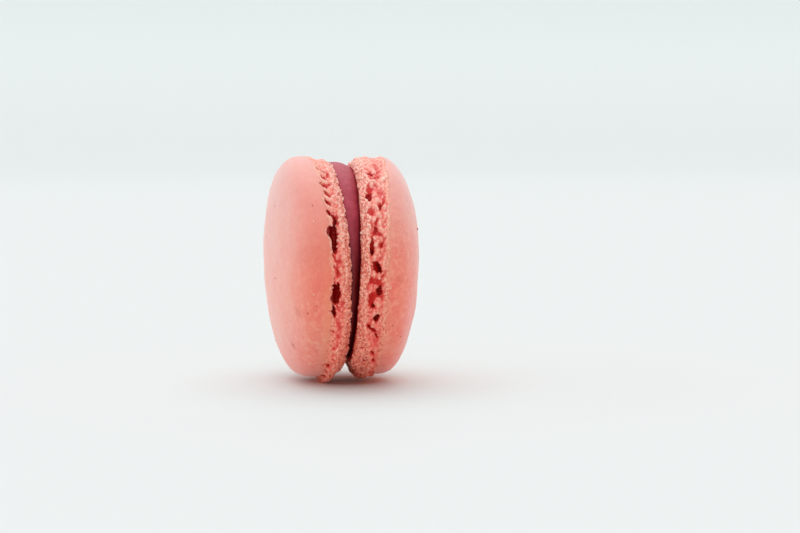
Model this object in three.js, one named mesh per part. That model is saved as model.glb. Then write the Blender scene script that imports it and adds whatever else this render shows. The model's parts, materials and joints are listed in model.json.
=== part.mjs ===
// A french macaron standing on its edge: two baked almond shells with a disc of filling between
// them. The two shells are not quite parallel, so the gap between them opens upwards and backwards.
//
// Millimetres, +Z up. The macaron's axis lies along X and the floor is z = 0. Each shell is one
// solid: a flat inner face, a ruffled foot and a smooth cap. A clock angle of 0 degrees points
// to the front (-Y), 90 degrees points up.

import * as THREE from 'three';
import { mergeVertices } from 'three/addons/utils/BufferGeometryUtils.js';

// ---- driving dimensions ----

const shells = [
  {
    name: 'left_shell',
    outward: -1,              // the cap faces -X
    faceX: -1.9,              // where the inner face crosses the macaron's axis
    lean: -2.3,               // degrees that the axis tips about Y
    toe: 2.0,                 // degrees that the axis turns about Z
    capRadius: 21.9,
    capCentreZ: 23.0,
    domeHeight: 8.8,
    domeFullness: 3.5,        // 2 is an ellipse; more is flatter on top and steeper at the rim
    faceRadius: 20.9,
    faceCentreZ: 22.8,
    footRadius: 22.5,
    footCentreZ: 22.1,
    footHeight: 3.6,
    footSlant: 0.2,           // how much taller the foot is on its high side
    footSlantTo: -90,
    ruffleSeed: 3,
    caves: [
      { clock: 17, long: 16, at: 0.86, wide: 0.32, deep: 1.5 },
      { clock: -15, long: 9, at: 0.62, wide: 0.3, deep: 1.2 },
      { clock: -26, long: 6, at: 0.86, wide: 0.25, deep: 1.0 },
      { clock: 45, long: 6, at: 0.9, wide: 0.25, deep: 0.9 },
      { clock: 61, long: 7, at: 0.9, wide: 0.25, deep: 0.9 },
      { clock: 128, long: 9, at: 0.8, wide: 0.3, deep: 1.1 },
      { clock: 171, long: 13, at: 0.85, wide: 0.3, deep: 1.3 },
      { clock: 214, long: 8, at: 0.7, wide: 0.3, deep: 1.0 },
    ],
    crustColour: 0xe6a294,
  },
  {
    name: 'right_shell',
    outward: 1,               // the cap faces +X
    faceX: 1.2,
    lean: 2.1,
    toe: -1.7,
    capRadius: 21.7,
    capCentreZ: 23.2,
    domeHeight: 8.3,
    domeFullness: 2.4,
    faceRadius: 21.2,
    faceCentreZ: 22.1,
    footRadius: 22.7,
    footCentreZ: 22.3,
    footHeight: 5.6,
    footSlant: 0.7,
    footSlantTo: 160,
    ruffleSeed: 8,
    caves: [
      { clock: 12, long: 14, at: 0.55, wide: 0.24, deep: 1.6 },
      { clock: 0, long: 8, at: 0.8, wide: 0.2, deep: 1.1 },
      { clock: 42, long: 10, at: 0.52, wide: 0.22, deep: 1.4 },
      { clock: 62, long: 8, at: 0.6, wide: 0.16, deep: 0.9 },
      { clock: -15, long: 9, at: 0.62, wide: 0.2, deep: 1.1 },
      { clock: -36, long: 10, at: 0.6, wide: 0.22, deep: 1.3 },
      { clock: 140, long: 10, at: 0.6, wide: 0.25, deep: 1.2 },
      { clock: 190, long: 14, at: 0.7, wide: 0.22, deep: 1.4 },
      { clock: 228, long: 8, at: 0.55, wide: 0.22, deep: 1.1 },
    ],
    crustColour: 0xe09a8c,
  },
];

const filling = {
  radius: 19.4,
  centreZ: 23.5,
  bulge: 0.5,                 // how far the middle of its side swells
  clearance: 0.3,             // gap left to each shell
  colour: 0x8c3a4c,
};

const ruffleDepth = 0.3;      // height of the foot's folds
const creaseDepth = 0.45;     // how far the foot draws in below the cap
const lipHeight = 0.3;        // rounded underside of the cap's rim
const faceEdge = 0.6;         // radius of the rounded edge of the inner face
const floorZ = 0;

const shellSteps = 100;       // faces around a shell
const fillingSteps = 88;
const domeRings = 9;
const footRings = 6;
const footFrom = 0.12;        // first and last ruffled ring, as shares of the foot's height
const footTo = 0.86;

// ---- small helpers ----

const degrees = (angle) => THREE.MathUtils.degToRad(angle);

// Signed difference of two clock angles in degrees, from -180 to 180.
const clockGap = (a, b) => THREE.MathUtils.euclideanModulo(a - b + 180, 360) - 180;

// Folds of the foot, from -1 in a crease to 1 on a swelling: rounded bulges with sharp creases
// between them, of several widths, whose places drift across the foot's height.
function makeRuffles(seed) {
  const folds = [7, 11, 16, 21, 27].map((count, i) => ({
    count,
    phase: seed * (i + 1) * 1.7,
    drift: 0.8 + 0.6 * ((seed + i * 5) % 4),
    size: 1 / (1 + 0.2 * i),
  }));
  const total = folds.reduce((sum, fold) => sum + fold.size, 0);
  return (clock, share) => {
    const angle = (fold) => (fold.count * degrees(clock)) / 2 + fold.phase + fold.drift * share;
    const swelling = (fold) => 2 * Math.abs(Math.sin(angle(fold))) ** 1.4 - 1;
    return (2 * folds.reduce((sum, fold) => sum + fold.size * swelling(fold), 0)) / total;
  };
}

// Depth at a point of the foot of the hollows that baking tore open.
function caveDepth(caves, clock, share) {
  return caves.reduce((deepest, cave) => {
    const along = clockGap(clock, cave.clock) / (cave.long / 2);
    const across = (share - cave.at) / (cave.wide / 2);
    return Math.max(deepest, cave.deep * Math.exp(-(along ** 2) - across ** 2));
  }, 0);
}

// ---- the shells ----

// Half outline of a shell from the middle of its inner face, over the foot and the cap, to the
// top of the dome. x is the radius, y the distance from the inner face.
function shellOutline(shell) {
  const { faceRadius, footRadius, footHeight, capRadius, domeHeight, domeFullness } = shell;
  const outline = [
    new THREE.Vector2(0, 0),
    new THREE.Vector2(faceRadius * 0.45, 0),
    new THREE.Vector2(faceRadius * 0.8, 0),
    new THREE.Vector2(faceRadius - faceEdge, 0),
  ];
  for (let i = 0; i < footRings; i += 1) {
    const share = THREE.MathUtils.lerp(footFrom, footTo, i / (footRings - 1));
    const swell = Math.sin(share * (Math.PI / 2)) ** 0.8;
    const radius = THREE.MathUtils.lerp(faceRadius, footRadius, swell);
    outline.push(new THREE.Vector2(radius, share * footHeight));
  }
  outline.push(new THREE.Vector2(capRadius - creaseDepth, footHeight));
  outline.push(new THREE.Vector2(capRadius - creaseDepth * 0.3, footHeight + lipHeight));
  for (let i = 1; i < domeRings; i += 1) {
    const rise = (Math.PI / 2) * (i / domeRings) ** 1.7;      // rings lie closer near the rim
    const height = domeHeight * Math.sin(rise) ** (2 / domeFullness);
    outline.push(new THREE.Vector2(capRadius * Math.cos(rise), footHeight + height));
  }
  outline.push(new THREE.Vector2(0, footHeight + domeHeight));
  return outline;
}

// Lathe geometry of an outline with its seam closed, in the lathe's own frame: axis along Y.
function closedLathe(outline, steps) {
  const geometry = new THREE.LatheGeometry(outline, steps);
  geometry.deleteAttribute('normal');
  geometry.deleteAttribute('uv');
  return mergeVertices(geometry, 1e-4);
}

// Moves every point of a lathe. place(radius, height, clock) gives its new position.
function reshape(geometry, place) {
  const points = geometry.attributes.position;
  for (let i = 0; i < points.count; i += 1) {
    const [x, y, z] = [points.getX(i), points.getY(i), points.getZ(i)];
    const clock = THREE.MathUtils.radToDeg(Math.atan2(z, x));
    points.setXYZ(i, ...place(Math.hypot(x, z), y, clock).toArray());
  }
  return geometry;
}

// The way a shell leans and turns about the middle of its inner face.
function shellAxes(shell) {
  return new THREE.Matrix4().makeRotationFromEuler(
    new THREE.Euler(0, degrees(shell.lean), degrees(shell.toe), 'ZYX'),
  );
}

// Height of the middle of a ring of a shell: the foot has sagged below the inner face and the cap.
function ringCentreZ(shell, share) {
  const { lerp, smoothstep } = THREE.MathUtils;
  const low = lerp(shell.faceCentreZ, shell.footCentreZ, smoothstep(share, 0, 0.5));
  return lerp(low, shell.capCentreZ, smoothstep(share, 0.7, 1.1));
}

function makeShell(shell) {
  const ruffle = makeRuffles(shell.ruffleSeed);
  const axes = shellAxes(shell);
  const geometry = reshape(closedLathe(shellOutline(shell), shellSteps), (radius, height, clock) => {
    const share = height / shell.footHeight;
    let reach = radius;
    if (share > 0 && share <= footTo) {
      reach += ruffleDepth * (0.3 + Math.sin(Math.PI * share)) * ruffle(clock, share);
      reach -= caveDepth(shell.caves, clock, share);
    }
    // The foot rose unevenly, so the cap sits aslant on it.
    const slant = shell.footSlant * Math.cos(degrees(clock - shell.footSlantTo));
    const level = height + slant * Math.min(share, 1) * (radius / shell.footRadius);
    const centreZ = ringCentreZ(shell, share);
    const [y, z] = [-reach * Math.cos(degrees(clock)), reach * Math.sin(degrees(clock))];
    const point = new THREE.Vector3(shell.outward * level, y, z);
    point.applyMatrix4(axes).add(new THREE.Vector3(shell.faceX, 0, centreZ));
    point.z = Math.max(point.z, floorZ);      // pressed flat where it stands
    return point;
  });
  return asMesh(shell.name, geometry, shell.outward, shell.crustColour, 0.8);
}

// ---- the filling ----

// X of a shell's inner face at a height z and depth y.
function innerFaceX(shell, y, z) {
  const normal = new THREE.Vector3(1, 0, 0).applyMatrix4(shellAxes(shell));
  return shell.faceX - (normal.y * y + normal.z * (z - shell.faceCentreZ)) / normal.x;
}

// Half outline of the filling. x is the radius, y goes from 0 at the left shell to 1 at the right.
function fillingOutline() {
  const side = [0, 0.15, 0.4, 0.6, 0.85, 1].map((across) => {
    const swell = filling.bulge * Math.sin(Math.PI * across) ** 0.7;
    return new THREE.Vector2(filling.radius + swell, across);
  });
  const halfway = filling.radius / 2;
  return [
    new THREE.Vector2(0, 0),
    new THREE.Vector2(halfway, 0),
    ...side,
    new THREE.Vector2(halfway, 1),
    new THREE.Vector2(0, 1),
  ];
}

function makeFilling() {
  const [left, right] = shells;
  const geometry = reshape(closedLathe(fillingOutline(), fillingSteps), (radius, across, clock) => {
    const turn = degrees(clock);
    const y = -radius * Math.cos(turn);
    const z = filling.centreZ + radius * Math.sin(turn);
    const from = innerFaceX(left, y, z) + filling.clearance;
    const to = innerFaceX(right, y, z) - filling.clearance;
    return new THREE.Vector3(THREE.MathUtils.lerp(from, to, across), y, z);
  });
  return asMesh('filling', geometry, 1, filling.colour, 0.45);
}

// ---- assembly ----

// A lathe whose far end points along -X has been mirrored, so its triangles are turned back.
function asMesh(name, geometry, outward, colour, roughness) {
  if (outward < 0) {
    const order = geometry.index.array;
    for (let i = 0; i < order.length; i += 3) {
      [order[i + 1], order[i + 2]] = [order[i + 2], order[i + 1]];
    }
  }
  geometry.computeVertexNormals();
  const material = new THREE.MeshStandardMaterial({ color: colour, roughness, metalness: 0 });
  const mesh = new THREE.Mesh(geometry, material);
  mesh.name = name;
  return mesh;
}

// The origin is on the floor, under the middle of the whole.
function centreOverOrigin(group) {
  const middle = new THREE.Box3().setFromObject(group).getCenter(new THREE.Vector3());
  group.position.set(-middle.x, -middle.y, 0);
}

const macaron = new THREE.Group();
macaron.add(...shells.map(makeShell), makeFilling());
centreOverOrigin(macaron);

export default macaron;
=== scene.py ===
import json
import random
from math import acos, asin, atan2, ceil, cos, degrees, exp, hypot, inf, pi, radians, sin, sqrt

import bpy
from mathutils import Matrix, Vector
from mathutils.noise import noise

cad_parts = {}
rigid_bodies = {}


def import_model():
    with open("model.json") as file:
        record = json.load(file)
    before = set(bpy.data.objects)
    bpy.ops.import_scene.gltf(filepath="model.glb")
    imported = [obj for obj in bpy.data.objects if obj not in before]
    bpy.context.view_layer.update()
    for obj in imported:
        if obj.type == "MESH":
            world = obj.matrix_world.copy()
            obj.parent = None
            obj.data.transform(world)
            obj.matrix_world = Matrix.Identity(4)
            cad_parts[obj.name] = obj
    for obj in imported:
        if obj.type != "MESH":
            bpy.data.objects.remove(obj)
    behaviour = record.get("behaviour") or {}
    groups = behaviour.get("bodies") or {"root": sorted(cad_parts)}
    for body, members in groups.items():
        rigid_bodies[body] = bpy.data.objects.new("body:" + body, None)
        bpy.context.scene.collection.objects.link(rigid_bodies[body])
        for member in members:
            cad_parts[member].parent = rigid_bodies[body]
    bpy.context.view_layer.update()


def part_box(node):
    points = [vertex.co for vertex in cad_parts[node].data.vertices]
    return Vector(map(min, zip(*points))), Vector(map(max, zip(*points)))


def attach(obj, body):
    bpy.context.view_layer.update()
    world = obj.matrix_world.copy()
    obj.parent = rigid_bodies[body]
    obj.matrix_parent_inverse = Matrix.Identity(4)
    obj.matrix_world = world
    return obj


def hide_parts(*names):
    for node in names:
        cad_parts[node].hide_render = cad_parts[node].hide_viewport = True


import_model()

# The shells are modelled in millimetres, lying flat with the axis up, and are then stood on edge.
mm = 0.001
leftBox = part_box("left_shell")
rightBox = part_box("right_shell")

# sizes in mm; clock angles in degrees, 0 at the front and 90 at the top
# stains: clock, radius, size, strength; dents of the rim: clock, width, rise
# ribs: clock, height, length, width, lean
leftShell = {
    "side": -1, "apexX": leftBox[0].x / mm, "lean": -2.3, "toe": 2.0, "slant": 0.2, "slantTo": -90,
    "faceZ": 22.8, "footZ": 22.1, "footHeight": 3.6,
    "footProfile": ((0, 20.9), (0.1, 21.4), (0.3, 21.9), (0.6, 22.3), (0.85, 22.35), (1, 22.0)),
    "capRadius": 21.9, "capZ": 23.0, "domeHeight": 8.8, "domeFullness": 3.5, "domeSag": -0.3,
    "bandTop": 1.3, "bandLow": 1.6, "lump": 0.85, "fray": 0.8, "lowCut": 0.9, "worn": 0.1, "foldAt": 1.8,
    "voxel": 0.155,
    "stainsAndShade": ((72, 12.9, 0.6, 0.8), (-52, 18.4, 1.0, 1.0), (-50, 17.9, 0.6, 0.8), (-62, 18.0, 0.9, 0.5),
        # the last stain, wide and faint, is painted shade on the front of the cap beside its rim
        (-24, 18.5, 1.4, 0.4), (-13, 7.0, 0.5, 0.8), (10, 20.3, 3.2, 0.2)),
    "dents": ((21.5, 3.2, 0.75), (-6.5, 1.6, 0.35), (-11.5, 1.6, 0.3), (32.5, 1.4, 0.4), (-19, 1.8, 0.4),
        (65, 1.5, 0.3), (51, 1.6, 0.35), (40, 1.6, 0.3), (-56, 2.5, 0.3)),
    "ribs": ((61.5, 2.9, 0.9, 0.6, -85), (54.5, 2.9, 0.85, 0.6, -80), (48, 2.9, 0.85, 0.55, -70),
        (42, 2.9, 0.85, 0.55, -75), (36, 2.9, 0.9, 0.55, -65), (29, 3.35, 1.05, 0.6, 5)),
}
rightShell = {
    "side": 1, "apexX": rightBox[1].x / mm, "lean": 2.1, "toe": -1.7, "slant": 0.7, "slantTo": 160,
    "faceZ": 22.1, "footZ": 22.3, "footHeight": 5.6,
    "footProfile": ((0, 21.2), (0.1, 21.95), (0.3, 22.6), (0.5, 22.7), (0.75, 22.5), (1, 21.95)),
    "capRadius": 21.7, "capZ": 23.2, "domeHeight": 8.3, "domeFullness": 2.4, "domeSag": 0.9,
    "bandTop": 1.5, "bandLow": 2.5, "lump": 0.9, "fray": 0.06, "lowCut": 2.4, "worn": 1.0, "foldAt": 0.7,
    "voxel": 0.17, "stainsAndShade": ((-2, 21.0, 1.0, 0.35), (-40, 19.5, 0.7, 0.4), (25, 18.0, 0.9, 0.3)),
    "dents": ((37, 2, 0.3), (-7, 2, 0.3), (-32, 2.5, 0.3)), "ribs": (),
}


def select(*pieces):
    # only these pieces, the first of them active
    bpy.ops.object.select_all(action="DESELECT")
    for piece in pieces:
        piece.select_set(True)
        bpy.context.view_layer.objects.active = pieces[0]


def editMode(on=True):
    bpy.ops.object.mode_set(mode="EDIT" if on else "OBJECT")


def pull(*steps):
    # extrudes what is selected
    bpy.ops.mesh.extrude_region_move(TRANSFORM_OT_translate={"value": steps})


def smoothStep(value, low, high):
    t = min(max((value - low) / (high - low), 0), 1)
    return t * t * (3 - 2 * t)


def between(value, rise, fall):
    # climbs from 0 to 1 over one stretch and falls to 0 again over another
    return smoothStep(value, *rise) * (1 - smoothStep(value, *fall))


def alongCurve(points, at):
    for (low, first), (high, second) in zip(points, points[1:]):
        if at <= high:
            return first + (second - first) * smoothStep(at, low, high)
    return points[-1][1]


cameraSet = {
    "azimuth": -10.55, "elevation": 4.0, "lens": 90, "sensor": 36, "clipStart": 0.01, "pixelsPerMm": 5.02,
    "aimAt": (-0.45, 0.07, 22.5), "aimPixel": (340, 268), "frame": (800, 533),
}


def placeCamera():
    width, height = cameraSet["frame"]
    azimuth, elevation = radians(cameraSet["azimuth"]), radians(cameraSet["elevation"])
    back = Vector((sin(azimuth) * cos(elevation), -cos(azimuth) * cos(elevation), sin(elevation)))
    right = (-back).cross(Vector((0, 0, 1))).normalized()
    up = right.cross(-back)
    focal = cameraSet["lens"] / cameraSet["sensor"] * width
    distance = focal / cameraSet["pixelsPerMm"]
    across = (cameraSet["aimPixel"][0] - width / 2) / focal
    down = (cameraSet["aimPixel"][1] - height / 2) / focal
    eye = Vector(cameraSet["aimAt"]) + distance * (back - across * right + down * up)
    bpy.ops.object.camera_add(location=eye * mm)
    camera = bpy.context.object
    camera.name = "photoCamera"
    camera.rotation_euler = (-back).to_track_quat("-Z", "Y").to_euler()
    camera.data.lens = cameraSet["lens"]
    camera.data.sensor_width = cameraSet["sensor"]
    camera.data.clip_start = cameraSet["clipStart"]
    bpy.context.scene.camera = camera


placeCamera()
print("camera placed")


class Nodes:
    # short hands for wiring the nodes of a material or a world
    def __init__(self, name, kind="materials", place="Object", scale=1000):
        self.made = getattr(bpy.data, kind).new(name)
        self.made.use_nodes = True
        self.tree = self.made.node_tree
        self.place = self.mapped(self.add("TexCoord").outputs[place], (scale, scale, scale))

    def feed(self, target, value):
        # an output is linked, and a number, a vector or a colour is set
        if isinstance(value, bpy.types.NodeSocket):
            self.tree.links.new(value, target)
        elif target.type == "RGBA":
            target.default_value = (*value, 1)
        else:
            target.default_value = value

    def add(self, kind, **values):
        node = self.tree.nodes.new("ShaderNode" + kind)
        for name, value in values.items():
            self.feed(node.inputs[name.replace("_", " ")], value)
        return node

    def mapped(self, place, scale, shift=(0, 0, 0)):
        return self.add("Mapping", Vector=place, Scale=scale, Location=shift).outputs["Vector"]

    def level(self, factor, low, high, first=0.0, last=1.0):
        return self.add("MapRange", Value=factor, From_Min=low, From_Max=high,
                        To_Min=first, To_Max=last).outputs["Result"]

    def along(self, axis, low, high):
        # 0 at one place along an axis and 1 at the other; on a material in mm
        return self.level(self.add("SeparateXYZ", Vector=self.place).outputs[axis], low, high)

    def mask(self, name):
        node = self.add("Attribute")
        node.attribute_name = name
        return node.outputs["Fac"]

    def clouds(self, size, detail=2.0, rough=0.5, stretch=None):
        place = self.place
        if stretch:
            place = self.mapped(place, [1 / length for length in stretch])
        node = self.add("TexNoise", Vector=place, Scale=1 / size, Detail=detail, Roughness=rough)
        return node.outputs["Fac"]

    def cells(self, size):
        return self.add("TexVoronoi", Vector=self.place, Scale=1 / size).outputs["Distance"]

    def ramp(self, factor, stops):
        node = self.add("ValToRGB", Fac=factor)
        elements = node.color_ramp.elements
        while len(elements) < len(stops):
            elements.new(0.5)
        for element, (position, colour) in zip(elements, stops):
            element.position = position
            element.color = (*colour, 1)
        return node.outputs["Color"]

    def calculate(self, operation, first, second):
        node = self.add("Math")
        node.operation = operation
        self.feed(node.inputs[0], first)
        self.feed(node.inputs[1], second)
        return node.outputs["Value"]

    def times(self, first, *others):
        for other in others:
            first = self.calculate("MULTIPLY", first, other)
        return first

    def mix(self, factor, first, second, blend="MIX"):
        node = self.add("Mix", Factor=factor)
        node.data_type = "RGBA"
        node.blend_type = blend
        self.feed(node.inputs[6], first)
        self.feed(node.inputs[7], second)
        return node.outputs[2]

    def mottle(self, base, layers):
        # layers of clouds: size, detail, roughness, where they set in, strength and colour
        for size, detail, rough, low, high, strength, colour in layers:
            patches = self.level(self.clouds(size, detail, rough), low, high, 0, strength)
            base = self.mix(patches, base, colour)
        return base

    def tint(self, base, layers, blend="MIX"):
        # layers of colour, its strength, and the stretches along the axes over which it sets in
        for colour, strength, *stretches in layers:
            reach = self.times(*[self.along(*stretch) for stretch in stretches], strength)
            base = self.mix(reach, base, colour, blend)
        return base

    def wander(self, value, reach, size):
        # shifts a value up and down by clouds of one size, in mm
        return self.calculate("ADD", value, self.level(self.clouds(size, 1), 0, 1, -reach, reach))

    def bump(self, height, depth, **under):
        # depth in mm
        return self.add("Bump", Height=height, Strength=1, Distance=depth * mm, **under).outputs["Normal"]

    def finish(self, colour, normal, **values):
        shader = self.tree.nodes["Principled BSDF"]
        for name, value in {"Base_Color": colour, "Normal": normal, **values}.items():
            self.feed(shader.inputs[name.replace("_", " ")], value)
        return self.made


lightSet = {
    "zenithColour": (0.84, 0.88, 0.89), "horizonColour": (0.96, 0.985, 1.0), "skyStrength": 1.26,
    "leftTint": (1.0, 1.0, 1.0), "rightTint": (0.80, 0.645, 0.60), "frontTint": (0.88, 0.88, 0.88),
    "backTint": (1.08, 1.08, 1.08), "keyFrom": (0, 0.3, 1.0), "keyWidth": 60, "keyStrength": 0.85,
    "keyColour": (1.0, 0.99, 0.97),
}


def lightStudio():
    # a sky that is tinted along each axis, and a wide sun
    n = Nodes("studioSky", "worlds", "Generated", 1)
    bpy.context.scene.world = n.made
    tint = (1, 1, 1)
    for axis, low, first, last in (("Z", 0, "horizonColour", "zenithColour"),
                                   ("X", -1, "leftTint", "rightTint"),
                                   ("Y", -1, "frontTint", "backTint")):
        shade = n.ramp(n.along(axis, low, 1), ((0, lightSet[first]), (1, lightSet[last])))
        tint = n.mix(1, tint, shade, "MULTIPLY")
    sky = n.tree.nodes["Background"]
    n.feed(sky.inputs["Color"], tint)
    n.feed(sky.inputs["Strength"], lightSet["skyStrength"])
    bpy.ops.object.light_add(type="SUN", location=lightSet["keyFrom"])
    light = bpy.context.object
    light.name = "keyLight"
    light.data.angle = radians(lightSet["keyWidth"])
    light.data.energy = lightSet["keyStrength"]
    light.data.color = lightSet["keyColour"]
    light.rotation_euler = Vector(lightSet["keyFrom"]).to_track_quat("Z", "Y").to_euler()
    bpy.context.scene.view_settings.view_transform = "Standard"


lightStudio()


# the sheet's sizes are in metres
# painted shade on the paper beside the macaron, a redder shadow right under it and a paler ring round it:
# distance in mm and colour
groundSet = {
    "width": 5, "front": -2, "back": 1.6, "bend": 0.8, "bendSteps": 16, "height": 0.1,
    "wallColour": (0.76, 0.85, 0.855), "paleAt": 140, "paintedShadeX": 1.0, "paintedShadeReach": 100,
    "paintedShade": ((6, (0.76, 0.49, 0.40)), (8.5, (0.74, 0.76, 0.74)), (13, (0.73, 0.84, 0.85)),
        (30, (0.70, 0.785, 0.795)), (65, (0.685, 0.748, 0.758))),
}


def makePaper():
    # paler higher up, and with painted shade round the macaron
    n = Nodes("whitePaper")
    scale = 1 / groundSet["paintedShadeReach"]
    flat = n.mapped(n.place, (scale, scale, 0), (-scale * groundSet["paintedShadeX"], 0, 0))
    away = n.add("VectorMath", Vector=flat)
    away.operation = "LENGTH"
    # painted shade: the paper's colour by distance from the macaron
    floor = n.ramp(away.outputs["Value"], [(far * scale, colour) for far, colour in groundSet["paintedShade"]])
    base = n.mix(n.along("Z", 0, groundSet["paleAt"]), floor, groundSet["wallColour"])
    return n.finish(base, n.bump(n.clouds(0.4), 0.01), Roughness=0.75)


def faceOut():
    # points all faces of the piece that is being edited outward, and leaves edit mode
    bpy.ops.mesh.select_all(action="SELECT")
    bpy.ops.mesh.normals_make_consistent(inside=False)
    editMode(False)


def addGround():
    # a sheet that runs back and turns up behind without an edge
    bpy.ops.mesh.primitive_plane_add(size=1, location=(0, 0, 0))
    ground = bpy.context.object
    ground.name = "ground"
    editMode()
    bpy.ops.transform.resize(value=(groundSet["width"], groundSet["back"] - groundSet["front"], 1))
    bpy.ops.transform.translate(value=(0, (groundSet["back"] + groundSet["front"]) / 2, 0))
    editMode(False)
    for face in ground.data.polygons:
        face.select = False
    for edge in ground.data.edges:
        edge.select = all(ground.data.vertices[v].co.y > 0 for v in edge.vertices)
    for vertex in ground.data.vertices:
        vertex.select = vertex.co.y > 0
    editMode()
    bpy.ops.mesh.select_mode(type="EDGE")
    steps, bend = groundSet["bendSteps"], groundSet["bend"]
    for i in range(steps):
        low, high = pi / 2 * i / steps, pi / 2 * (i + 1) / steps
        pull(0, bend * (sin(high) - sin(low)), bend * (cos(low) - cos(high)))
    pull(0, 0, groundSet["height"])
    bpy.ops.mesh.select_mode(type="VERT")
    faceOut()
    bpy.ops.object.shade_smooth()
    ground.data.materials.append(makePaper())


addGround()
print("studio ready")


def outline(corner, steps):
    # points given by their steps outward and up from a corner
    return [(corner[0] + out, corner[1] + up) for out, up in steps]


def addRings(name, steps, rings):
    # a circle pulled ring by ring along (radius, height)
    select()
    bpy.ops.mesh.primitive_circle_add(vertices=steps, radius=rings[0][0], location=(0, 0, 0))
    piece = bpy.context.object
    piece.name = name
    editMode()
    bpy.ops.mesh.select_all(action="SELECT")
    bpy.ops.transform.translate(value=(0, 0, rings[0][1]))
    for (radius, height), (nextRadius, nextHeight) in zip(rings, rings[1:]):
        pull(0, 0, nextHeight - height)
        grow = nextRadius / radius
        bpy.ops.transform.resize(value=(grow, grow, 1), center_override=(0, 0, 0))
    editMode(False)
    return piece


def closeRings(piece):
    # the first and last ring lie on each other, or are so small that they close as poles
    select(piece)
    editMode()
    bpy.ops.mesh.select_all(action="SELECT")
    bpy.ops.mesh.remove_doubles(threshold=0.004)
    faceOut()


def applyModifier(piece, kind, **values):
    select(piece)
    modifier = piece.modifiers.new(kind.lower(), kind)
    for key, value in values.items():
        setattr(modifier, key, value)
    bpy.ops.object.modifier_apply(modifier=modifier.name)


def displace(piece, name, size, strength, group=""):
    # pushes the surface in and out by clouds of one size
    texture = bpy.data.textures.new(name, "CLOUDS")
    texture.noise_scale = size
    texture.noise_depth = 1
    applyModifier(piece, "DISPLACE", texture=texture, strength=strength, mid_level=0.5,
                  texture_coords="LOCAL", vertex_group=group)


def joinInto(piece, others):
    select(piece, *others)
    bpy.ops.object.join()


# toFoot and toCap are stretches in shares of the foot's height, and toDome is one in mm above it
sagSet = {"toFoot": (0, 0.5), "toCap": (0.7, 1.1), "toDome": (0, 5)}


def shellRingZ(shell, share):
    # the foot has sagged below the inner face and the cap, and the dome on its foot
    low = shell["faceZ"] + (shell["footZ"] - shell["faceZ"]) * smoothStep(share, *sagSet["toFoot"])
    sag = shell["domeSag"] * smoothStep((share - 1) * shell["footHeight"], *sagSet["toDome"])
    return low + (shell["capZ"] - low) * smoothStep(share, *sagSet["toCap"]) - sag


def shellPlace(shell):
    # stands a lying shell on its edge: its up becomes outward, its clock angle runs round the ring
    side = shell["side"]
    lean, toe = radians(shell["lean"]), radians(shell["toe"])
    turned = Matrix(((0, 0, side), (-1, 0, 0), (0, -side, 0))).to_4x4()
    axes = Matrix.Rotation(toe, 4, "Z") @ Matrix.Rotation(lean, 4, "Y")
    reach = shell["footHeight"] + shell["domeHeight"]
    faceX = shell["apexX"] - side * reach * cos(lean) * cos(toe)
    return Matrix.Translation((faceX, 0, 0)) @ axes @ turned


def clockOf(shell, point):
    return -shell["side"] * degrees(atan2(point.y, point.x))


def angleOf(shell, clock):
    return radians(-shell["side"] * clock)


def standUp(piece, shell):
    # slants, sags and stands a piece of a shell, and brings it down to metres
    matrix = shellPlace(shell)
    for vertex in piece.data.vertices:
        x, y, height = vertex.co
        radius = hypot(x, y)
        share = height / shell["footHeight"]
        slant = shell["slant"] * cos(radians(clockOf(shell, vertex.co) - shell["slantTo"]))
        level = height + slant * min(max(share, 0), 1) * radius / shell["capRadius"]
        point = matrix @ Vector((x, y, level))
        point.z = max(point.z + shellRingZ(shell, share), 0)
        vertex.co = point * mm
    piece.data.update()


def paint(piece, name, weight):
    # stores weight(vertex) as a colouring mask
    mask = piece.data.attributes.new(name, "FLOAT", "POINT")
    mask.data.foreach_set("value", [weight(vertex) for vertex in piece.data.vertices])


# the core sits inside the foot, where it doesn't show; swells: size and strength
capSet = {
    "steps": 720, "discRadii": (0.01, 6, 12), "coreRadius": 17.9, "coreFace": 0.4,
    "coreEdge": ((-0.3, 0), (0, 0.3)), "coreTop": ((0, -0.4), (0.3, -0.1), (1.2, 0)),
    "rim": ((-0.8, 0), (-0.5, -0.03), (-0.25, -0.04), (-0.1, 0.04), (-0.02, 0.15)), "domeRings": 64,
    "crowding": 1.35, "poleRadius": 0.001, "foldFrom": 0.3, "foldRings": 21, "foldStep": 0.1,
    "foldZone": (0.2, 2.6), "foldDepth": 0.05, "foldWidth": 0.1, "foldLines": (-0.3, 0, 0.35),
    "foldWander": 0.25, "ragged": 0.26, "raggedIn": (1.2, 0.3), "raggedUp": (0.5, 2.0), "underTo": 0.1,
    "stainAndShadeWaver": 0.6, "swells": {"domeSwell": (7, 0.35), "domeDimple": (1.6, 0.06)},
}


def domeRise(shell, rise):
    return shell["domeHeight"] * sin(rise) ** (2 / shell["domeFullness"])


def domeRadius(shell, height):
    rise = asin(min(max((height - shell["footHeight"]) / shell["domeHeight"], 0), 1)
                ** (shell["domeFullness"] / 2))
    return shell["capRadius"] * cos(rise)


def capRings(shell):
    foot, radius = shell["footHeight"], shell["capRadius"]
    core, face = capSet["coreRadius"], capSet["coreFace"]
    rings = [(disc, face) for disc in capSet["discRadii"]]
    rings += outline((core, face), capSet["coreEdge"])
    rings += outline((core, foot), capSet["coreTop"])
    rings += outline((radius, foot), capSet["rim"])
    for i in range(capSet["foldRings"]):
        height = foot + capSet["foldFrom"] + i * capSet["foldStep"]
        rings.append((domeRadius(shell, height), height))
    foldTop = capSet["foldFrom"] + (capSet["foldRings"] + 1) * capSet["foldStep"]
    for i in range(1, capSet["domeRings"] + 1):
        rise = pi / 2 * (i / capSet["domeRings"]) ** capSet["crowding"]
        height = domeRise(shell, rise)
        if height > foldTop:
            rings.append((max(radius * cos(rise), capSet["poleRadius"]), foot + height))
    return rings


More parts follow.
